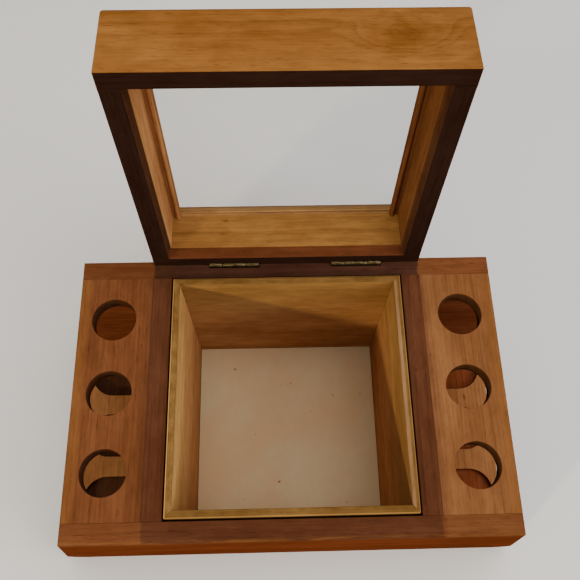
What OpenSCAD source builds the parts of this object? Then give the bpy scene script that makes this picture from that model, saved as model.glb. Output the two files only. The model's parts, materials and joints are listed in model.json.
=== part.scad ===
// Wooden stand with six holding holes beside a cedar-lined storage box with a glazed lid.
// Frame: +Z up, front towards -Y, origin at the centre of the face that the stand rests on.

/* [Stand] */
// Width of the top, across both wings
top_w = 282; // [270:1:300]
// Depth from the front board's face to the back board's face
depth = 186.5; // [180:0.5:200]
// Width of the box between the wings, and of its lid
box_w = 184.5; // [178:0.5:190]
// Height of the stand, without the lid
height = 146; // [140:1:170]
// Thickness of every walnut board
board_t = 12.7; // [11:0.1:13.5]
// Outward slope of the stand's sides, from vertical
flare = 13; // [8:0.5:15]
// Radius of the lower corners of the front and back boards
corner_r = 15; // [13:0.5:18]

/* [Holding places] */
// Diameter of each through hole in the wings
hole_d = 29.7; // [24:0.1:32]
// Distance from the wing's upper outer edge to the holes' centres
hole_inset = 23.6; // [22:0.1:24.4]
// Distance from one hole's centre to the next
hole_pitch = 50.8; // [46:0.1:52]
// Diameter of the round ends of the shelf recesses
recess_d = 35; // [30:0.5:38]
// Depth of the shelf recesses
recess_deep = 6; // [4:0.5:8]
// Reach of a recess's outer centre beyond its hole's centre
recess_reach = 28.5; // [20:0.5:30]

/* [Liner] */
// Thickness of the cedar liner boards
liner_t = 4.8; // [3:0.1:6]
// Gap between the liner and the box walls
liner_gap = 1.3; // [0.8:0.1:2]
// How far the liner's rim stands above the stand's top
liner_proud = 3.2; // [2:0.1:4.5]
// Bevel along the rim's outer edge
rim_bevel = 1.4; // [0.5:0.1:2]
// Thickness of the bottom panel
panel_t = 6; // [4:0.5:8]
// Thickness of the pale floor sheet
sheet_t = 1.6; // [1:0.1:3]

/* [Lid] */
// Opening angle at which the lid rests against its stop
lid_open = 94.5; // [91:0.5:96]
// Height of the lid
lid_h = 44.45; // [40:0.05:50]
// Radius of the rounded upper edges, outside
lid_round = 5; // [2:0.5:6]
// Radius of the rounded upper edges around the opening
lip_round = 5; // [2:0.5:6]
// Height of the step inside the lid's rim
step_h = 8; // [5:0.1:10]
// Width of the step inside the lid's rim
step_w = 1.6; // [1:0.1:2]
// Height of the glass above the rim
glass_up = 35; // [28:0.1:35.5]
// Thickness of the glass
glass_t = 3; // [2:0.1:3.4]
// Depth of the groove that holds the glass
groove_deep = 3; // [2:0.1:4]
// Width of the moulded rests under the glass, left and right
rest_w = 6; // [5:0.1:8]
// Height of the moulded rests
rest_h = 3.6; // [3:0.1:6]
// Radius of the bead along each rest
bead_r = 1.5; // [1:0.1:1.8]

/* [Hinges] */
// Length of each hinge
hinge_l = 34.5; // [30:0.5:40]
// Distance between the hinges' centres
hinge_span = 85; // [70:1:110]
// How far the pair of hinges sits to the right of the middle
hinge_shift = 6; // [0:0.5:8]
// Outer radius of the knuckles
knuckle_r = 2.1; // [1.8:0.1:2.4]
// Length of the middle knuckle
knuckle_mid = 16; // [12:0.5:18]
// Radius of the hinge pin
pin_r = 0.9; // [0.7:0.05:1]
// Depth of the leaves in the wood, from the axis
leaf_deep = 11; // [8:0.5:12]
// Thickness of a leaf
leaf_t = 0.9; // [0.7:0.05:0.9]

/* [Hidden] */
$fn = 48;

walnut = "#8a4f2b";
walnut_dark = "#5b3424";
honey = "#c98a45";
cedar = "#d2a35c";
paper = "#c9bdab";
brass = "#a48b4c";

cut = 1;                            // how far a cutting shape runs past a face
half_w = box_w / 2;
half_d = depth / 2;
room_w = half_w - board_t;          // half the room inside the walls, across
room_d = half_d - board_t;          // and from front to back
top_half = top_w / 2;
base_half = top_half + height * tan(flare);
corner_x = base_half - corner_r * (1 / cos(flare) + tan(flare));
shelf_inset = 2;                    // shelf's outer edge, back from the boards' edge
hole_x = top_half - hole_inset;
liner_w = room_w - liner_gap;       // half the liner's outer size, across
liner_d = room_d - liner_gap;       // and from front to back
sheet_gap = 0.4;
mitre_reach = 20;                   // how far in the mitre cuts go, past any ring's thickness
lid_gap = 0.3;                      // between the stand's top and the closed lid's rim
lid_side_gap = 0.3;                 // beside the lid, where its bevel dips into the back board
stop_slack = 1.2;                   // angle left between the two bevels when the lid is open
lid_z = height + lid_gap;
axis_inset = 3;                     // hinge axis, in from the back face
axis_y = half_d - axis_inset;
axis_z = height + lid_gap / 2;
relief_gap = 0.4;                   // around the knuckles, and past their ends
relief_r = knuckle_r + relief_gap;
knuckle_gap = 0.5;
pin_play = 0.08;                    // running clearance of the pin in the lid's knuckles
leaf_gap = 0.1;
leaf_start = relief_r + leaf_gap;   // where a leaf's plate begins, below or above the axis
leaf_tuck = 0.15;                   // a leaf's front face, behind the front of its knuckle
leaf_out = knuckle_r - leaf_tuck;   // and in front of the axis
hinge_x = [for (s = [-1, 1]) hinge_shift + s * hinge_span / 2];
glass_z = lid_z + glass_up;
glass_play = 0.5;                   // around the pane's edge
glass_bed = 0.2;                    // room over the pane in its groove
rest_edge = 0.5;                    // flat strip between a rest's bead and its edge

// Outline of the front and back boards, seen from the front: sloping sides, round lower corners.
module stand_outline(inset = 0) {
    r = corner_r;
    drop = r * sin(flare);
    out = r * cos(flare);
    translate([-corner_x + inset, r]) circle(r);
    translate([corner_x - inset, r]) circle(r);
    polygon([
        [-top_half + inset, height], [-corner_x + inset - out, r + drop], [-corner_x + inset, 0],
        [corner_x - inset, 0], [corner_x - inset + out, r + drop], [top_half - inset, height]]);
}

// A shape drawn from the front, extruded from y0 back to y1.
module from_front(y0, y1) {
    translate([0, y1, 0]) rotate([90, 0, 0]) linear_extrude(y1 - y0) children();
}

// A shape drawn from the side (Y across, Z up), extruded from x0 to x1.
module from_side(x0, x1) {
    translate([x0, 0, 0]) rotate([90, 0, 90]) linear_extrude(x1 - x0) children();
}

// The lid is designed closed; this leans it back to where it rests open.
module opened() {
    translate([0, axis_y, axis_z]) rotate([-lid_open, 0, 0]) translate([0, -axis_y, -axis_z]) children();
}

// Bevels that meet when the lid leans against its stop: one on the stand, one on the lid.
module stop_bevel(side) {
    a = (lid_open + stop_slack) / 2;
    run = axis_inset + cut;
    translate([0, axis_y, axis_z]) from_side(-top_w, top_w)
        polygon([[0, 0], [run, side * run * tan(a)], [run, -side * cut], [0, -side * cut]]);
}

// Room for the two hinges' knuckles.
module knuckle_relief() {
    for (x = hinge_x)
        translate([x - hinge_l / 2 - relief_gap, axis_y, axis_z]) rotate([0, 90, 0])
            cylinder(r = relief_r, h = hinge_l + 2 * relief_gap);
}

// Narrow slots that the leaves are pressed into; side is -1 down in the stand, 1 up in the lid.
module leaf_slots(side) {
    for (x = hinge_x)
        translate([x - hinge_l / 2, axis_y - leaf_out, side < 0 ? axis_z - leaf_deep : axis_z])
            cube([hinge_l, leaf_t, leaf_deep]);
}

// ---- stand ----
module front_board() {
    color(walnut) from_front(-half_d, -half_d + board_t) stand_outline();
}

module back_board() {
    color(walnut) difference() {
        from_front(half_d - board_t, half_d) stand_outline();
        intersection() {
            stop_bevel(-1);
            translate([-half_w - lid_side_gap, 0, 0])
                cube([2 * (half_w + lid_side_gap), depth, 2 * height]);
        }
        knuckle_relief();
        leaf_slots(-1);
    }
}

module box_wall(side) {
    color(walnut_dark) translate([side > 0 ? room_w : -half_w, -room_d, 0])
        cube([board_t, 2 * room_d, height]);
}

module wing_plate(side) {
    slope = board_t * tan(flare);
    color(walnut) mirror([side > 0 ? 0 : 1, 0, 0]) difference() {
        from_front(-room_d, room_d) polygon([
            [half_w, height], [top_half, height],
            [top_half + slope, height - board_t], [half_w, height - board_t]]);
        for (k = [-1, 0, 1])
            translate([hole_x, k * hole_pitch, height - board_t - cut])
                cylinder(d = hole_d, h = board_t + 2 * cut);
    }
}

module recess() {
    circle(d = recess_d);
    translate([recess_reach, 0]) circle(d = recess_d);
    translate([0, -recess_d / 2]) square([recess_reach, recess_d]);
}

module lower_shelf(side) {
    color(walnut) mirror([side > 0 ? 0 : 1, 0, 0]) difference() {
        from_front(-room_d, room_d) intersection() {
            stand_outline(shelf_inset);
            translate([half_w, 0]) square([base_half, board_t]);
        }
        for (k = [-1, 0, 1])
            translate([hole_x, k * hole_pitch, board_t - recess_deep]) linear_extrude(board_t) recess();
    }
}

module bottom_panel() {
    color(walnut_dark) translate([-room_w, -room_d, 0])
        cube([2 * room_w, 2 * room_d, panel_t]);
}

module floor_sheet() {
    w = liner_w - liner_t - sheet_gap;
    d = liner_d - liner_t - sheet_gap;
    color(paper) translate([-w, -d, panel_t]) cube([2 * w, 2 * d, sheet_t]);
}

// One side of a mitred rectangular ring of outer half sizes w and d: 0 front, 1 right, 2 back,
// 3 left. Its child is the section, with X going inward from the ring's outer face.
module ring_side(turn, w, d) {
    along = turn % 2 == 0 ? w : d;
    out = turn % 2 == 0 ? d : w;
    rotate([0, 0, 90 * turn]) intersection() {
        linear_extrude(2 * height) polygon([
            [-along - cut, -out - cut], [along + cut, -out - cut],
            [along - mitre_reach, -out + mitre_reach], [-along + mitre_reach, -out + mitre_reach]]);
        from_side(-along, along) translate([-out, 0]) children();
    }
}

module liner_board(turn) {
    rim = height + liner_proud;
    color(cedar) ring_side(turn, liner_w, liner_d) polygon([
        [0, panel_t], [liner_t, panel_t], [liner_t, rim], [rim_bevel, rim], [0, rim - rim_bevel]]);
}

// ---- lid ----
// Section of the whole closed lid, of that half width: square at the rim, rounded above.
module lid_section(half) {
    r = lid_round;
    top = lid_z + lid_h;
    for (s = [-1, 1])
        translate([s * (half - r), top - r]) circle(r);
    polygon([
        [-half, lid_z], [half, lid_z], [half, top - r], [half - r, top], [-half + r, top],
        [-half, top - r]]);
}

module lid_envelope() {
    intersection() {
        from_front(-half_d, half_d) lid_section(half_w);
        from_side(-half_w, half_w) lid_section(half_d);
    }
}

// The rounded mouth of the opening, above an inner half width: seen from the front or the side.
module mouth_section(half) {
    r = lip_round;
    low = lid_z + lid_h - r;
    difference() {
        translate([-half - r, low]) square([2 * (half + r), r + cut]);
        for (s = [-1, 1])
            translate([s * (half + r), low]) circle(r);
    }
}

// The hollow of the lid: step at the rim, straight walls, groove for the glass, rounded mouth.
module lid_hollow() {
    top = lid_z + lid_h + cut;
    groove_top = glass_z + glass_t + glass_bed;
    for (s = [[step_w, lid_z - cut, lid_z + step_h], [0, lid_z, top], [groove_deep, glass_z, groove_top]])
        translate([-room_w - s[0], -room_d - s[0], s[1]])
            cube([2 * (room_w + s[0]), 2 * (room_d + s[0]), s[2] - s[1]]);
    intersection() {
        from_front(-half_d, half_d) mouth_section(room_w);
        from_side(-half_w, half_w) mouth_section(room_d);
    }
}

// Front and back rails run the full width; the side rails fit between them.
module end_rail(side) {
    y = side < 0 ? -half_d : room_d;
    color(honey) opened() difference() {
        intersection() {
            lid_envelope();
            translate([-half_w, y, 0]) cube([2 * half_w, board_t, 2 * height]);
        }
        lid_hollow();
        if (side > 0) {
            stop_bevel(1);
            knuckle_relief();
            leaf_slots(1);
        }
    }
}

module side_rail(side) {
    x = side < 0 ? -half_w : room_w;
    color(honey) opened() difference() {
        intersection() {
            lid_envelope();
            translate([x, -room_d, 0]) cube([board_t, 2 * room_d, 2 * height]);
        }
        lid_hollow();
    }
}

module lid_glass() {
    w = room_w + groove_deep - glass_play;
    d = room_d + groove_deep - glass_play;
    color("#dfe8e6", 0.4) opened() translate([-w, -d, glass_z]) cube([2 * w, 2 * d, glass_t]);
}

// A strip along a side rail, under the glass, with a round bead on the side that shows.
module glass_rest(side) {
    color(honey) opened() from_front(-room_d, room_d)
        mirror([side > 0 ? 0 : 1, 0, 0]) translate([room_w - rest_w, glass_z - rest_h]) {
            translate([0, bead_r]) square([rest_w, rest_h - bead_r]);
            translate([rest_edge + bead_r, bead_r]) circle(bead_r);
        }
}

// ---- hinges, designed closed; k is 0 for the left hinge and 1 for the right ----
module knuckle(x0, x1, bore) {
    translate([x0, axis_y, axis_z]) rotate([0, 90, 0]) difference() {
        cylinder(r = knuckle_r, h = x1 - x0);
        translate([0, 0, -cut]) cylinder(r = bore, h = x1 - x0 + 2 * cut);
    }
}

// A flat piece of leaf from x0 to x1, from z0 to z1 above the axis.
module leaf_piece(x0, x1, z0, z1) {
    translate([x0, axis_y - leaf_out, axis_z + z0]) cube([x1 - x0, leaf_t, z1 - z0]);
}

module hinge_base_leaf(k) {
    x = hinge_x[k];
    a = x - knuckle_mid / 2;
    b = x + knuckle_mid / 2;
    color(brass) {
        leaf_piece(x - hinge_l / 2, x + hinge_l / 2, -leaf_deep, -leaf_start);
        leaf_piece(a, b, -leaf_start - cut, 0);
        knuckle(a, b, pin_r);
    }
}

module hinge_lid_leaf(k) {
    x = hinge_x[k];
    inner = knuckle_mid / 2 + knuckle_gap;
    color(brass) opened() {
        leaf_piece(x - hinge_l / 2, x + hinge_l / 2, leaf_start, leaf_deep);
        for (s = [-1, 1]) {
            a = x + (s < 0 ? -hinge_l / 2 : inner);
            b = x + (s < 0 ? -inner : hinge_l / 2);
            leaf_piece(a, b, 0, leaf_start + cut);
            knuckle(a, b, pin_r + pin_play);
        }
    }
}

module hinge_pin(k) {
    color(brass) translate([hinge_x[k] - hinge_l / 2, axis_y, axis_z])
        rotate([0, 90, 0]) cylinder(r = pin_r, h = hinge_l);
}

front_board();
back_board();
box_wall(-1);  // left_box_wall
box_wall(1);  // right_box_wall
wing_plate(-1);  // left_wing_plate
wing_plate(1);  // right_wing_plate
lower_shelf(-1);  // left_lower_shelf
lower_shelf(1);  // right_lower_shelf
bottom_panel();
floor_sheet();
liner_board(0);  // liner_front
liner_board(1);  // liner_right
liner_board(2);  // liner_back
liner_board(3);  // liner_left
end_rail(-1);  // lid_front_rail
end_rail(1);  // lid_back_rail
side_rail(-1);  // lid_left_rail
side_rail(1);  // lid_right_rail
lid_glass();
glass_rest(-1);  // glass_rest_left
glass_rest(1);  // glass_rest_right
hinge_base_leaf(0);  // hinge_base_leaf_left
hinge_base_leaf(1);  // hinge_base_leaf_right
hinge_lid_leaf(0);  // hinge_lid_leaf_left
hinge_lid_leaf(1);  // hinge_lid_leaf_right
hinge_pin(0);  // hinge_pin_left
hinge_pin(1);  // hinge_pin_right
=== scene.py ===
import json
import math

import bpy
from mathutils import Matrix, Vector


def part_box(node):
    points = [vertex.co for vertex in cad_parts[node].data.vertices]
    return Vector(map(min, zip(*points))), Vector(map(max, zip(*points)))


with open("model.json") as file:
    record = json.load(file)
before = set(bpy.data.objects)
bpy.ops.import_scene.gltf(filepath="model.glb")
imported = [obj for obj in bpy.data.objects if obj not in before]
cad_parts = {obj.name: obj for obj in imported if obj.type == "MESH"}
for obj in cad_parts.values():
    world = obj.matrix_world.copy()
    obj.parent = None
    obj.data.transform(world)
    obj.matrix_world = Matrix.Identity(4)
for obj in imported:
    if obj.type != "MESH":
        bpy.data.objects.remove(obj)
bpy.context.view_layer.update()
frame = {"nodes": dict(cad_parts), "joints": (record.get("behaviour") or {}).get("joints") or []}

# ---------------------------------------------------------------- places, from the frame
MM = 0.001
NODES = frame["nodes"]
hinge = frame["joints"][0]
AXIS = Vector(hinge["pos_m"])
SHUT = math.radians(hinge["range_deg"][1])      # turns the open lid shut about the hinge

top_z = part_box("left_box_wall")[1].z            # the stand's top
half_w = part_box("right_box_wall")[1].x          # half the width of the box and the lid
half_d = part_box("back_board")[1].y              # half their depth
front_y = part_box("front_board")[0].y
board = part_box("right_box_wall")[1].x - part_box("right_box_wall")[0].x     # a board's thickness
wing_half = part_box("right_wing_plate")[1].x     # half the width over both wings
rest_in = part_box("glass_rest_right")[0].x       # inner side of the strip that the pane rests on
liner_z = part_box("liner_front")[1].z            # the liner's rim
liner_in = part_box("liner_right")[0].x           # its inner side
shelf_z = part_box("left_lower_shelf")[1].z
pane = sum(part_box("lid_glass"), Vector()) / 2
pane_up = (Matrix.Rotation(SHUT, 3, "X") @ (pane - AXIS) + AXIS).z - top_z    # over the rim, lid shut
pane_half = 1.5 * MM                            # half the pane's thickness


# ---------------------------------------------------------------- node graphs
class Graph:
    """Short ways to add nodes to one node tree and join them."""

    def __init__(self, tree):
        self.tree = tree

    def add(self, kind, inputs=None, **settings):
        node = self.tree.nodes.new(kind)
        for name, value in settings.items():
            setattr(node, name, value)
        for name, value in (inputs or {}).items():
            self.feed(node.inputs[name], value)
        return node

    def feed(self, socket, value):
        if isinstance(value, bpy.types.NodeSocket):
            self.tree.links.new(value, socket)
        else:
            socket.default_value = value

    def math(self, operation, *values):
        node = self.add("ShaderNodeMath", operation=operation)
        for socket, value in zip(node.inputs, values):
            self.feed(socket, value)
        return node.outputs[0]

    def product(self, first, *others):
        for value in others:
            first = self.math("MULTIPLY", first, value)
        return first

    def vector(self, operation, *values, scale=None):
        node = self.add("ShaderNodeVectorMath", operation=operation)
        for socket, value in zip(node.inputs, values):
            self.feed(socket, value)
        if scale is not None:
            self.feed(node.inputs["Scale"], scale)
        return node.outputs["Value" if operation in ("LENGTH", "DOT_PRODUCT") else "Vector"]

    def split(self, vector):
        return self.add("ShaderNodeSeparateXYZ", {"Vector": vector}).outputs

    def join(self, x, y, z):
        return self.add("ShaderNodeCombineXYZ", {"X": x, "Y": y, "Z": z}).outputs[0]

    def noise_node(self, vector, scale, detail, roughness):
        return self.add("ShaderNodeTexNoise", {
            "Vector": vector, "Scale": scale, "Detail": detail, "Roughness": roughness})

    def noise(self, vector, scale, detail=2.0, roughness=0.5):
        """Noise from 0 to 1."""
        return self.noise_node(vector, scale, detail, roughness).outputs[0]

    def noise3(self, vector, scale, detail=2.0, roughness=0.5):
        """A vector of three such noises."""
        return self.noise_node(vector, scale, detail, roughness).outputs["Color"]

    def rise(self, value, low, high):
        """0 below low, 1 above high and a smooth step between; low may be the higher one."""
        return self.add("ShaderNodeMapRange", {
            "Value": value, "From Min": low, "From Max": high}, interpolation_type="SMOOTHSTEP").outputs[0]

    def mix(self, factor, a, b, blend="MIX"):
        """Two colours mixed. A Mix node repeats its socket names, so they go by number."""
        node = self.add("ShaderNodeMix", data_type="RGBA", blend_type=blend)
        factor_socket, a_socket, b_socket, result = 0, 6, 7, 2
        self.feed(node.inputs[factor_socket], factor)
        self.feed(node.inputs[a_socket], a)
        self.feed(node.inputs[b_socket], b)
        return node.outputs[result]

    def place(self, vector, location, rotation):
        return self.add("ShaderNodeMapping", {
            "Vector": vector, "Location": location, "Rotation": rotation}).outputs[0]


def rgb(colour):
    return (*colour, 1.0)


def new_material(name):
    material = bpy.data.materials.new(name)
    material.use_nodes = True
    material.node_tree.nodes.clear()
    return material, Graph(material.node_tree)


def place_in_metres(g):
    return g.add("ShaderNodeTexCoord").outputs["Object"]


def place_in_mm(g):
    return g.vector("SCALE", place_in_metres(g), scale=1 / MM)


def finish_surface(g, colour, roughness, height, depth_mm, alpha=1.0, **fixed):
    """The surface shader and output. Values in fixed go straight on the shader's own sockets."""
    bump = g.add("ShaderNodeBump", {"Height": height, "Strength": 1.0, "Distance": depth_mm * MM})
    shader = g.add("ShaderNodeBsdfPrincipled", {
        "Base Color": colour, "Roughness": roughness, "Alpha": alpha, "Normal": bump.outputs[0]})
    for name, value in fixed.items():
        shader.inputs[name.replace("_", " ")].default_value = value
    out = g.add("ShaderNodeOutputMaterial")
    g.tree.links.new(shader.outputs[0], out.inputs[0])


# ---------------------------------------------------------------- the grain of solid wood
def growth_rings(g, mm, given):
    """0 in early wood and 1 in late wood, in uneven rings round the X axis. mm is the point in mm
    and given has the grain group's inputs."""
    drift = g.noise3(g.vector("MULTIPLY", mm, (0.12, 1.0, 1.0)), scale=0.022, detail=4.0)
    drift = g.vector("SCALE", g.vector("SUBTRACT", drift, (0.5, 0.5, 0.5)), scale=given["Wander"])
    across = g.vector("MULTIPLY", g.vector("ADD", mm, drift), (0.0, 1.0, 1.0))
    rings = g.math("DIVIDE", g.vector("LENGTH", across), given["Spacing"])
    rings = g.math("ADD", rings, given["Push"])
    uneven = g.noise(g.join(rings, 0.0, 0.0), scale=0.45)
    rings = g.math("ADD", rings, g.product(uneven, 2.4))
    year = g.math("FRACT", rings)
    late = g.product(g.rise(year, 0.05, 0.85), g.rise(year, 1.0, 0.88))
    strength = g.noise(g.join(g.math("FLOOR", rings), 0.0, 0.0), scale=0.83, detail=0.0)
    return g.product(late, g.rise(strength, 0.15, 0.9))


def streaks(g, mm, along, scale, detail=2.0, roughness=0.5):
    """Noise drawn out along the grain, where its scale is multiplied by along."""
    return g.noise(g.vector("MULTIPLY", mm, (along, 1.0, 1.0)), scale, detail, roughness)


def make_grain_group():
    """Solid wood. Vector is in metres with X along the grain and the tree's centre on the X axis.
    Push shifts the rings, as beside a knot. Ring is 0 in early wood and 1 in late wood, Fibre and
    Pore are fine streaks, Patch is broad colour, Mottle is small soft blotches and Fleck is a few
    dark marks."""
    tree = bpy.data.node_groups.new("wood_grain", "ShaderNodeTree")
    tree.interface.new_socket("Vector", in_out="INPUT", socket_type="NodeSocketVector")
    for label in ("Spacing", "Wander", "Push"):
        tree.interface.new_socket(label, in_out="INPUT", socket_type="NodeSocketFloat")
    for label in ("Ring", "Fibre", "Pore", "Patch", "Mottle", "Fleck"):
        tree.interface.new_socket(label, in_out="OUTPUT", socket_type="NodeSocketFloat")
    g = Graph(tree)
    given = g.add("NodeGroupInput").outputs
    mm = g.vector("SCALE", given["Vector"], scale=1 / MM)
    late = growth_rings(g, mm, given)
    pore = g.rise(streaks(g, mm, along=0.07, scale=2.4, detail=1.0), 0.62, 0.74)
    g.add("NodeGroupOutput", {
        "Ring": late,
        "Fibre": streaks(g, mm, along=0.03, scale=0.9, detail=4.0, roughness=0.65),
        "Pore": g.product(pore, g.math("ADD", 0.5, late)),
        "Patch": streaks(g, mm, along=0.3, scale=0.028),
        "Mottle": streaks(g, mm, along=0.4, scale=0.16, detail=3.0, roughness=0.55),
        "Fleck": g.rise(streaks(g, mm, along=0.4, scale=0.17, detail=1.0), 0.765, 0.82)})
    return tree


GRAIN = make_grain_group()


# ---------------------------------------------------------------- wood colours
# Early wood, late wood and pores, each as a share of a board's own colour.
WALNUT = ((1.0, 1.0, 1.0), (0.67, 0.61, 0.60), (0.32, 0.30, 0.28))
SOFT_CEDAR = ((1.0, 1.0, 1.0), (0.86, 0.82, 0.78), (0.64, 0.57, 0.50))


def shades(colour, steps=WALNUT):
    """The early wood, late wood and pore colours of one board; colour is linear."""
    return [tuple(part * share for part, share in zip(colour, step)) for step in steps]


# The stand
FADED = shades((0.14, 0.050, 0.019))            # the top outside the lid
LIT_FROM_RIGHT = shades((0.21, 0.090, 0.035))              # the right wing, lighter: painted light, as if lit from the right
UNDER_LID = shades((0.090, 0.033, 0.016))       # the top where the shut lid keeps it dark, and the walls
UNFADED_WITH_PAINTED_SHADE = shades((0.058, 0.024, 0.015))       # the same on the back board, with a painted shadow of the open lid; also painted shade on the side rails' step
FRONT_PAINTED_SHADE = shades((0.13, 0.033, 0.011))             # the front: painted shade with a painted warm reflection
INSIDE_PAINTED_BOUNCE = shades((0.16, 0.045, 0.018))           # the inner faces of the front and back boards: painted reddish bounce light in the shade
SHELF = shades((0.28, 0.12, 0.045))             # the top of the lower shelves
LEFT_RECESS_SHADE = shades((0.070, 0.028, 0.014))          # painted shade in the recesses in the left one
RIGHT_RECESS_SHADE = shades((0.17, 0.046, 0.018))       # and painted shade, lighter and redder, in the right one
# The lid
HONEY = shades((0.25, 0.105, 0.026))            # outside
PALE = shades((0.33, 0.16, 0.045))              # the walls inside
LIT_SIDE = shades((0.50, 0.24, 0.09))           # the left wall inside
GROOVE_PAINTED_LIGHT = shades((0.75, 0.42, 0.13))              # painted light in the glass groove, against its shade
SHADED = shades((0.13, 0.040, 0.018))           # the step that shuts over the liner
DARK_RIM_AND_HOLE_SHADE = shades((0.025, 0.011, 0.0075))       # the mating faces, unfaded and darkened with painted shade; also painted shade down in the wing holes
# The liner
CEDAR = shades((0.31, 0.165, 0.052), SOFT_CEDAR)
LEFT_CEDAR_PAINTED_LIGHT = shades((0.60, 0.35, 0.12), SOFT_CEDAR)         # the left side, lighter: painted light
LOW_CEDAR_PAINTED_BOUNCE = shades((0.42, 0.20, 0.08), SOFT_CEDAR)         # low in the box: painted reddish bounce light, and painted shade on the lighter left side
RIM_AND_CORNER_BROWN = shades((0.11, 0.056, 0.015), SOFT_CEDAR)           # the rim
RIM_PAINTED_HIGHLIGHT = shades((0.27, 0.15, 0.075), SOFT_CEDAR)          # painted highlight: the pale line on the right rim


def tint(g, colour, value, low, high, dark, light):
    """Multiplies colour by dark to light as value goes from low to high."""
    return g.mix(1.0, colour, g.mix(g.rise(value, low, high), rgb(dark), rgb(light)), "MULTIPLY")


def wood_colour(g, grain, palette):
    early, late, pore = palette
    colour = g.mix(g.product(grain["Ring"], 0.65), rgb(early), rgb(late))
    colour = tint(g, colour, grain["Fibre"], 0.3, 0.7, (0.90, 0.88, 0.86), (1.08, 1.07, 1.05))
    colour = tint(g, colour, grain["Patch"], 0.32, 0.7, (0.84, 0.80, 0.76), (1.11, 1.13, 1.15))
    colour = tint(g, colour, grain["Mottle"], 0.34, 0.68, (0.90, 0.88, 0.86), (1.07, 1.08, 1.08))
    colour = g.mix(g.product(grain["Pore"], 0.55), colour, rgb(pore))
    return g.mix(g.product(grain["Fleck"], 0.6), colour, rgb(pore))


def layered(g, grain, layers):
    """The first palette's wood, with each later one laid over it as far as its mask says."""
    (lowest, _), *others = layers
    colour = wood_colour(g, grain, lowest)
    for palette, mask in others:
        colour = g.mix(mask, colour, wood_colour(g, grain, palette))
    return colour


# ---------------------------------------------------------------- one board's material
ALONG = {"X": (0, 0, 0), "Y": (0, 0, -math.pi / 2), "Z": (0, math.pi / 2, 0)}
# Spacing of the rings and how far they stray, both in mm
WALNUT_RINGS = {"Spacing": 3.2, "Wander": 16.0}
CEDAR_RINGS = {"Spacing": 4.5, "Wander": 9.0}


def frame_place(g, lid):
    """A surface point in the shared frame, in metres; for the lid, where it would be with the lid
    shut."""
    at = place_in_metres(g)
    if not lid:
        return at
    turned = Matrix.Rotation(SHUT, 3, "X") @ AXIS
    return g.place(at, location=AXIS - turned, rotation=(SHUT, 0, 0))


def knot_push(g, at, knot):
    """How far the rings are pushed aside around a knot at a point in metres, in rings."""
    stray = g.vector("SCALE", g.noise3(at, scale=60.0, detail=3.0, roughness=0.6), scale=11 * MM)
    stray = g.vector("SUBTRACT", stray, (5.5 * MM, 5.5 * MM, 5.5 * MM))
    away = g.vector("SUBTRACT", g.vector("SUBTRACT", at, knot), stray)
    away = g.vector("MULTIPLY", away, (0.55, 1.0, 1.0))
    near = g.rise(g.vector("LENGTH", away), 26 * MM, 0.0)
    return g.product(g.math("POWER", near, 1.6), 4.5)


def darken_knot(g, at, knot, colour):
    ragged = g.product(g.noise(at, scale=75.0, detail=4.0, roughness=0.6), 26 * MM)
    away = g.math("ADD", g.vector("LENGTH", g.vector("SUBTRACT", at, knot)), ragged)
    return tint(g, colour, away, 36 * MM, 10 * MM, (1, 1, 1), (0.66, 0.58, 0.52))


def wood(name, along, heart, palettes, lid, rings, knot=None):
    """Wood with its grain along an axis. heart is the tree's centre from the board, in mm: how far
    along, then across. palettes(g, at) gives a list of (palette, mask) from the lowest layer up."""
    material, g = new_material(name)
    at = frame_place(g, lid)
    grain = g.add("ShaderNodeGroup", {
        "Vector": g.place(at, location=Vector(heart) * MM, rotation=ALONG[along]),
        "Push": knot_push(g, at, knot) if knot else 0.0,
        **rings}, node_tree=GRAIN).outputs
    colour = layered(g, grain, palettes(g, at))
    if knot:
        colour = darken_knot(g, at, knot, colour)
    height = g.math("SUBTRACT", g.product(grain["Fibre"], 0.5), grain["Pore"])
    roughness = g.math("ADD", 0.46, g.product(grain["Fibre"], 0.22))
    finish_surface(g, colour, roughness, height, depth_mm=0.10, Specular_IOR_Level=0.0)
    return material


# ---------------------------------------------------------------- where each wood colour shows
def soft_edge(g, at, value, reach, blur=2.0, ragged=1.5):
    """1 where value is under reach and 0 over it, with an uneven edge; all in mm, value in metres."""
    stray = g.product(g.math("SUBTRACT", g.noise(at, scale=90.0, detail=3.0), 0.5), ragged * 2 * MM)
    return g.rise(g.math("ADD", value, stray), (reach + blur / 2) * MM, (reach - blur / 2) * MM)


def right_side(g, x):
    """1 right of the middle and 0 left of it."""
    return g.rise(x, -1 * MM, 1 * MM)


def worn_front(g, at):
    """1 in broken streaks along the front top edge of the stand."""
    _, y, z = g.split(at)
    streak = g.noise(g.vector("MULTIPLY", at, (28.0, 320.0, 320.0)), scale=1.0, detail=3.0, roughness=0.6)
    near_edge = g.product(g.rise(y, front_y + 2.6 * MM, front_y + 0.4 * MM),
                          g.rise(z, top_z - 2.2 * MM, top_z - 0.6 * MM))
    return g.product(near_edge, g.rise(streak, 0.42, 0.62))


def board_palettes(g, at, lid_footprint_colour):
    """Faded walnut, darker in the given colour where the shut lid has kept the light off the top; on the
    back board that colour also holds a painted shadow of the open lid.
    """
    x, y, z = g.split(at)
    under_lid = soft_edge(g, at, g.math("ABSOLUTE", x), half_w / MM - 0.5)
    on_top = g.rise(z, top_z - 1.2 * MM, top_z - 0.4 * MM)
    low = g.rise(z, top_z - 2 * MM, top_z - 14 * MM)
    front = g.rise(y, front_y + 6 * MM, front_y + 3 * MM)
    inner = g.rise(g.math("ABSOLUTE", y), half_d - 3 * MM, half_d - 6 * MM)
    # Low down, the front takes painted shade with a painted warm reflection, and the inner faces take
    # painted reddish bounce light.
    return [(FADED, None), (FRONT_PAINTED_SHADE, g.product(low, front)), (INSIDE_PAINTED_BOUNCE, g.product(low, inner)),
            (lid_footprint_colour, g.product(under_lid, on_top))]


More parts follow.
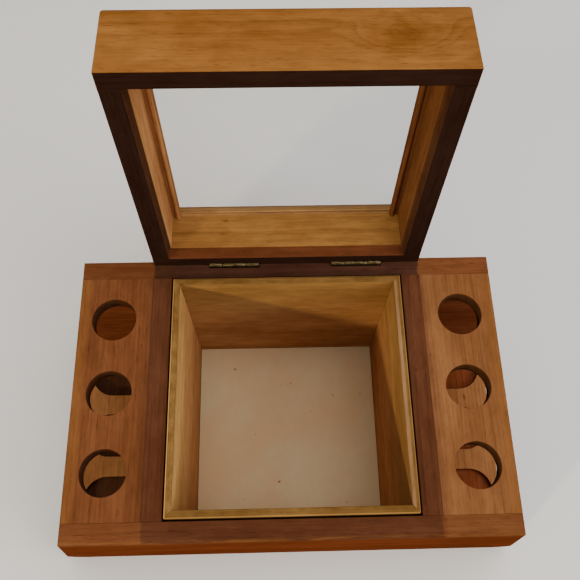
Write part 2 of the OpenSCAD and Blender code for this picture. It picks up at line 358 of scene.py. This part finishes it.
def front_palettes(g, at):
    """The front board: worn along its top edge, and lighter at its right end with painted light."""
    faded, *others = board_palettes(g, at, UNDER_LID)
    right_end = g.rise(g.split(at)["X"], half_w, half_w + 3 * MM)
    return [faded, (LIT_FROM_RIGHT, g.product(right_end, 0.4)), *others,
            (HONEY, g.product(worn_front(g, at), 0.55))]


def back_palettes(g, at):
    """The back board: darker under the lid, where unfaded wood carries a painted shadow of the open lid,
    with a dusty worn corner beside the left hinge.
    """
    corner = g.vector("LENGTH", g.vector("SUBTRACT", at, (-half_w + 7 * MM, half_d - 4 * MM, top_z)))
    ragged = g.product(g.noise(at, scale=160.0, detail=4.0), 14 * MM)
    dusty = g.rise(g.math("ADD", corner, ragged), 17 * MM, 7 * MM)
    return board_palettes(g, at, UNFADED_WITH_PAINTED_SHADE) + [(RIM_AND_CORNER_BROWN, g.product(dusty, 0.3))]


def wing_palettes(g, at):
    """Faded walnut, a little darker beside the lid, lighter along the outer edge and dark down in the
    holes with painted shade. The right wing is lighter than the left one: painted light."""
    x, _, z = g.split(at)
    far = g.math("ABSOLUTE", x)
    beside = soft_edge(g, at, far, half_w / MM + 3.0, blur=9.0, ragged=3.0)
    outer = g.rise(far, wing_half - 11 * MM, wing_half - 7 * MM)
    # Painted shade down in the holes.
    in_hole = g.product(g.rise(z, top_z - 0.5 * MM, top_z - 1.5 * MM),
                        g.rise(far, wing_half - 1 * MM, wing_half - 3 * MM))
    return [(FADED, None), (LIT_FROM_RIGHT, right_side(g, x)), (UNDER_LID, g.product(beside, 0.6)),
            (HONEY, g.product(outer, 0.35)), (DARK_RIM_AND_HOLE_SHADE, g.product(in_hole, 0.7))]


def wall_palettes(g, at):
    return [(UNDER_LID, None)]


def shelf_palettes(g, at):
    """Light wood on top and dark brown painted shade in the recesses, redder on the right."""
    x, _, z = g.split(at)
    below = g.rise(z, shelf_z - 0.3 * MM, shelf_z - 0.9 * MM)
    return [(SHELF, None), (LEFT_RECESS_SHADE, below), (RIGHT_RECESS_SHADE, g.product(below, right_side(g, x)))]


def wall_inside(g, inward):
    """1 on the lid's walls inside. inward is the way in from the lid's outer face."""
    return g.rise(inward, board - 0.5 * MM, board - 0.2 * MM)


def lid_palettes(g, at, on_step=SHADED):
    """Walnut faded to honey, paler on the wall inside, with painted light in the glass groove, and dark on
    the rim and on the step that shuts over the liner: unfaded wood with painted shade."""
    x, y, z = g.split(at)
    inward = g.math("MINIMUM", g.math("SUBTRACT", half_w, g.math("ABSOLUTE", x)),
                    g.math("SUBTRACT", half_d, g.math("ABSOLUTE", y)))
    up = g.math("SUBTRACT", z, top_z)
    # The rim's mating faces are unfaded wood with painted shade.
    rim = g.product(g.rise(inward, 0.0, 0.35 * MM), g.rise(up, 1.0 * MM, 0.6 * MM))
    step = g.product(g.rise(inward, 6 * MM, 7 * MM), g.rise(up, 8.6 * MM, 8.2 * MM))
    from_pane = g.math("ABSOLUTE", g.math("SUBTRACT", up, pane_up))
    groove = g.product(g.rise(inward, board - 0.1 * MM, board - 0.3 * MM),
                       g.rise(from_pane, pane_half + 0.4 * MM, pane_half + 0.2 * MM),
                       g.rise(inward, board / 2, board / 2 + 1 * MM))
    return [(HONEY, None), (PALE, wall_inside(g, inward)), (GROOVE_PAINTED_LIGHT, groove),
            (on_step, g.product(step, 0.9)), (DARK_RIM_AND_HOLE_SHADE, rim)]


def side_rail_palettes(g, at):
    """As the lid, but darker on the step, and with a different colour on each wall inside: painted light
    on the left wall and painted shade on the right one.
    """
    x = g.split(at)["X"]
    wall = wall_inside(g, g.math("SUBTRACT", half_w, g.math("ABSOLUTE", x)))
    right = right_side(g, x)
    left = g.math("SUBTRACT", 1.0, right)
    outside, inside, *others = lid_palettes(g, at, on_step=UNFADED_WITH_PAINTED_SHADE)
    return [outside, inside, (LIT_SIDE, g.product(wall, left)),
            (FADED, g.product(wall, right, 0.85)), *others]


def rest_palettes(g, at):
    """As the wall beside it, with painted light on the left and painted shade on the right, and painted
    shade in the corners beside the bead.
    """
    x = g.split(at)["X"]
    far = g.math("ABSOLUTE", x)
    corner = g.math("MAXIMUM", g.rise(far, rest_in + 3.3 * MM, rest_in + 3.8 * MM),
                    g.rise(far, rest_in + 0.9 * MM, rest_in + 0.5 * MM))
    return [(LIT_SIDE, None), (FADED, right_side(g, x)), (SHADED, g.product(corner, 0.4))]


def cedar_palettes(g, at, cedar=CEDAR):
    """Cedar, redder low in the box with painted reddish bounce light and shade, and browner on the rim."""
    z = g.split(at)["Z"]
    deep = g.rise(z, liner_z - 5 * MM, liner_z - 90 * MM)
    rim = g.rise(z, liner_z - 0.9 * MM, liner_z - 0.5 * MM)
    # The rim is darker and browner, in uneven blotches.
    worn = g.rise(g.noise(at, scale=90.0, detail=4.0, roughness=0.6), 0.3, 0.75)
    rim_share = g.math("ADD", 0.7, g.product(worn, 0.25))
    return [(cedar, None), (LOW_CEDAR_PAINTED_BOUNCE, g.product(deep, 0.9)), (RIM_AND_CORNER_BROWN, g.product(rim, rim_share))]


def left_cedar_palettes(g, at):
    return cedar_palettes(g, at, LEFT_CEDAR_PAINTED_LIGHT)


def right_cedar_palettes(g, at):
    """As the rest, with a painted highlight: a pale line along the rim's inner half."""
    x, _, z = g.split(at)
    line = g.product(g.rise(z, liner_z - 0.6 * MM, liner_z - 0.2 * MM),
                     g.rise(x, liner_in + 2.6 * MM, liner_in + 1.8 * MM))
    broken = g.rise(g.noise(at, scale=45.0, detail=3.0, roughness=0.6), 0.2, 0.5)
    return cedar_palettes(g, at) + [(RIM_PAINTED_HIGHLIGHT, g.product(line, g.product(broken, 0.85)))]


# ---------------------------------------------------------------- other materials
BRASS_DULL = (0.050, 0.034, 0.015)
BRASS_BRIGHT = (0.12, 0.088, 0.038)
BRASS_SPECK = (0.03, 0.021, 0.011)
GLASS_GREEN = (0.24, 0.27, 0.23)
SHEET_CLEAN = (0.48, 0.37, 0.21)
SHEET_STAINED = (0.48, 0.31, 0.16)
SHEET_FLECK = (0.23, 0.065, 0.025)


def brass():
    """Old brass, unevenly tarnished, with small dark specks."""
    material, g = new_material("aged_brass")
    at = place_in_mm(g)
    tarnish = g.noise(at, scale=0.35, detail=4.0, roughness=0.6)
    speck = g.noise(at, scale=2.5, detail=3.0, roughness=0.6)
    colour = g.mix(g.rise(tarnish, 0.35, 0.65), rgb(BRASS_DULL), rgb(BRASS_BRIGHT))
    colour = g.mix(g.rise(speck, 0.6, 0.75), colour, rgb(BRASS_SPECK))
    roughness = g.math("ADD", 0.28, g.product(speck, 0.3))
    finish_surface(g, colour, roughness, speck, depth_mm=0.006, Metallic=1.0)
    return material


def glass():
    """Clear pane with a faint green body and a thin film of dust."""
    material, g = new_material("pane_glass")
    dust = g.rise(g.noise(place_in_mm(g), scale=0.02, detail=4.0, roughness=0.7), 0.4, 0.8)
    roughness = g.math("ADD", 0.03, g.product(dust, 0.06))
    alpha = g.math("ADD", 0.08, g.product(dust, 0.04))
    finish_surface(g, rgb(GLASS_GREEN), roughness, dust, depth_mm=0.002, alpha=alpha, IOR=1.5)
    return material


def floor_sheet():
    """Off-white sheet with a faint woven rib, stains and a few specks."""
    material, g = new_material("pale_sheet")
    at = place_in_mm(g)
    stain = g.noise(at, scale=0.012, detail=5.0, roughness=0.7)
    rib = g.noise(g.vector("MULTIPLY", at, (1.0, 0.05, 1.0)), scale=0.9)
    fleck = g.noise(at, scale=0.21, detail=1.0)
    colour = g.mix(g.rise(stain, 0.35, 0.7), rgb(SHEET_STAINED), rgb(SHEET_CLEAN))
    colour = g.mix(g.product(g.rise(rib, 0.4, 0.7), 0.25), colour, rgb(SHEET_STAINED))
    colour = g.mix(g.rise(fleck, 0.79, 0.81), colour, rgb(SHEET_FLECK))
    finish_surface(g, colour, 0.72, rib, depth_mm=0.06, Specular_IOR_Level=0.3)
    return material


# ---------------------------------------------------------------- dressing the CAD nodes
# Each board's grain direction, where its tree's centre lay from it in mm, and its colours.
BOARDS = {
    "front_board": ("X", (40, 130, -60), front_palettes),
    "back_board": ("X", (-310, -60, -95), back_palettes),
    "left_box_wall": ("Y", (120, 60, -20), wall_palettes),
    "right_box_wall": ("Y", (-220, -95, -30), wall_palettes),
    "left_wing_plate": ("Y", (75, 40, -70), wing_palettes),
    "right_wing_plate": ("Y", (-180, -75, -66), wing_palettes),
    "left_lower_shelf": ("Y", (310, 90, 45), shelf_palettes),
    "right_lower_shelf": ("Y", (-95, -60, 50), shelf_palettes),
    "bottom_panel": ("X", (20, 35, 60), wall_palettes),
    "lid_front_rail": ("X", (210, 150, -140), lid_palettes),
    "lid_back_rail": ("X", (-140, -20, -135), lid_palettes),
    "lid_left_rail": ("Y", (60, 30, -125), side_rail_palettes),
    "lid_right_rail": ("Y", (-260, -30, -210), side_rail_palettes),
    "glass_rest_left": ("Y", (150, 20, -150), rest_palettes),
    "glass_rest_right": ("Y", (-350, -40, -140), rest_palettes),
    "liner_front": ("X", (80, 150, -80), cedar_palettes),
    "liner_back": ("X", (-260, -30, -55), cedar_palettes),
    "liner_left": ("Y", (190, 30, -60), left_cedar_palettes),
    "liner_right": ("Y", (-70, -170, -70), right_cedar_palettes),
}
# On the outside of the lid's front, right of the middle, where it would be with the lid shut.
KNOTS = {"lid_front_rail": (57 * MM, -half_d, top_z + 22 * MM)}
BOARD_EASE_MM = 0.35                            # widths of the eased edges
BRASS_EASE_MM = 0.12
WELD_REACH = 0.002 * MM                         # corners closer than this become one
FLAT_ANGLE = math.radians(0.6)                  # faces flatter to each other than this become one
SHARP_ANGLE = math.radians(35)                  # edges sharper than this are eased


def ease_edges(node, width_mm):
    """Rounds a CAD node's sharp edges in the picture; its own mesh stays as it is."""
    weld = node.modifiers.new("weld", "WELD")
    weld.merge_threshold = WELD_REACH
    flat = node.modifiers.new("flat", "DECIMATE")
    flat.decimate_type = "DISSOLVE"
    flat.angle_limit = FLAT_ANGLE
    bevel = node.modifiers.new("ease", "BEVEL")
    bevel.width = width_mm * MM
    bevel.segments = 2
    bevel.limit_method = "ANGLE"
    bevel.angle_limit = SHARP_ANGLE
    bevel.harden_normals = True


def dress(name, material):
    node = NODES[name]
    node.data.materials.clear()
    node.data.materials.append(material)


def dress_board(name, along, heart, palettes):
    in_lid = name.startswith(("lid_", "glass_rest_"))
    rings = CEDAR_RINGS if name.startswith("liner_") else WALNUT_RINGS
    dress(name, wood(name + "_wood", along, heart, palettes, in_lid, rings, KNOTS.get(name)))
    ease_edges(NODES[name], BOARD_EASE_MM)


for name, (along, heart, palettes) in BOARDS.items():
    dress_board(name, along, heart, palettes)

BRASS = brass()
for name in NODES:
    if name.startswith("hinge_"):
        dress(name, BRASS)
        ease_edges(NODES[name], BRASS_EASE_MM)
dress("lid_glass", glass())
dress("floor_sheet", floor_sheet())


# ---------------------------------------------------------------- floor, light and camera
FLOOR_REACH = 6.0
FLOOR_DARK = (0.70, 0.69, 0.675)
FLOOR_LIGHT = (0.74, 0.73, 0.715)
LIGHT_AIM = Vector((0, 0, 0.12))
WORLD_COLOUR = (1.0, 0.97, 0.98)
WORLD_STRENGTH = 0.58
CAMERA_PLACE = (-0.0076, -0.1195, 0.5953)
CAMERA_SIDEWAYS = math.radians(-2.9)            # turned about the vertical
CAMERA_TILT = math.radians(22.6)                # up from looking straight down
CAMERA_ROLL = math.radians(1.7)
LENS_MM = 43.9
SENSOR_MM = 36.0
LENS_SHIFT = 0.007


def studio_floor():
    mesh = bpy.data.meshes.new("studio_floor")
    corners = ((-1, -1), (1, -1), (1, 1), (-1, 1))
    mesh.from_pydata([(x * FLOOR_REACH, y * FLOOR_REACH, 0) for x, y in corners], [], [(0, 1, 2, 3)])
    floor = bpy.data.objects.new("studio_floor", mesh)
    bpy.context.scene.collection.objects.link(floor)
    material, g = new_material("pale_floor")
    tone = g.noise(place_in_metres(g), scale=3.0, detail=3.0)
    colour = g.mix(tone, rgb(FLOOR_DARK), rgb(FLOOR_LIGHT))
    finish_surface(g, colour, 0.6, tone, depth_mm=0.01)
    mesh.materials.append(material)


def soft_light(name, place, size, power, colour):
    data = bpy.data.lights.new(name, "AREA")
    data.shape = "DISK"
    data.size = size
    data.energy = power
    data.color = colour
    light = bpy.data.objects.new(name, data)
    light.location = place
    light.rotation_euler = (LIGHT_AIM - Vector(place)).to_track_quat("-Z", "Y").to_euler()
    bpy.context.scene.collection.objects.link(light)


def world_light():
    world = bpy.data.worlds.new("studio")
    world.use_nodes = True
    background = world.node_tree.nodes["Background"]
    background.inputs["Color"].default_value = rgb(WORLD_COLOUR)
    background.inputs["Strength"].default_value = WORLD_STRENGTH
    bpy.context.scene.world = world


def camera():
    data = bpy.data.cameras.new("camera")
    data.sensor_width = SENSOR_MM
    data.lens = LENS_MM
    data.shift_y = LENS_SHIFT
    data.clip_start = 0.02
    data.clip_end = 30
    view = bpy.data.objects.new("camera", data)
    turn = Matrix.Rotation(CAMERA_SIDEWAYS, 4, "Z") @ Matrix.Rotation(CAMERA_TILT, 4, "X")
    turn = turn @ Matrix.Rotation(CAMERA_ROLL, 4, "Z")
    view.matrix_world = Matrix.Translation(CAMERA_PLACE) @ turn
    bpy.context.scene.collection.objects.link(view)
    bpy.context.scene.camera = view


studio_floor()
soft_light("above", place=(0.2, 0.15, 2.0), size=1.3, power=21, colour=(1.0, 0.97, 0.94))
soft_light("side", place=(1.3, -0.6, 1.3), size=1.5, power=20, colour=(1.0, 0.95, 0.90))
soft_light("lamp", place=(-1.45, -1.45, 1.0), size=0.2, power=28, colour=(1.0, 0.88, 0.55))
world_light()
camera()
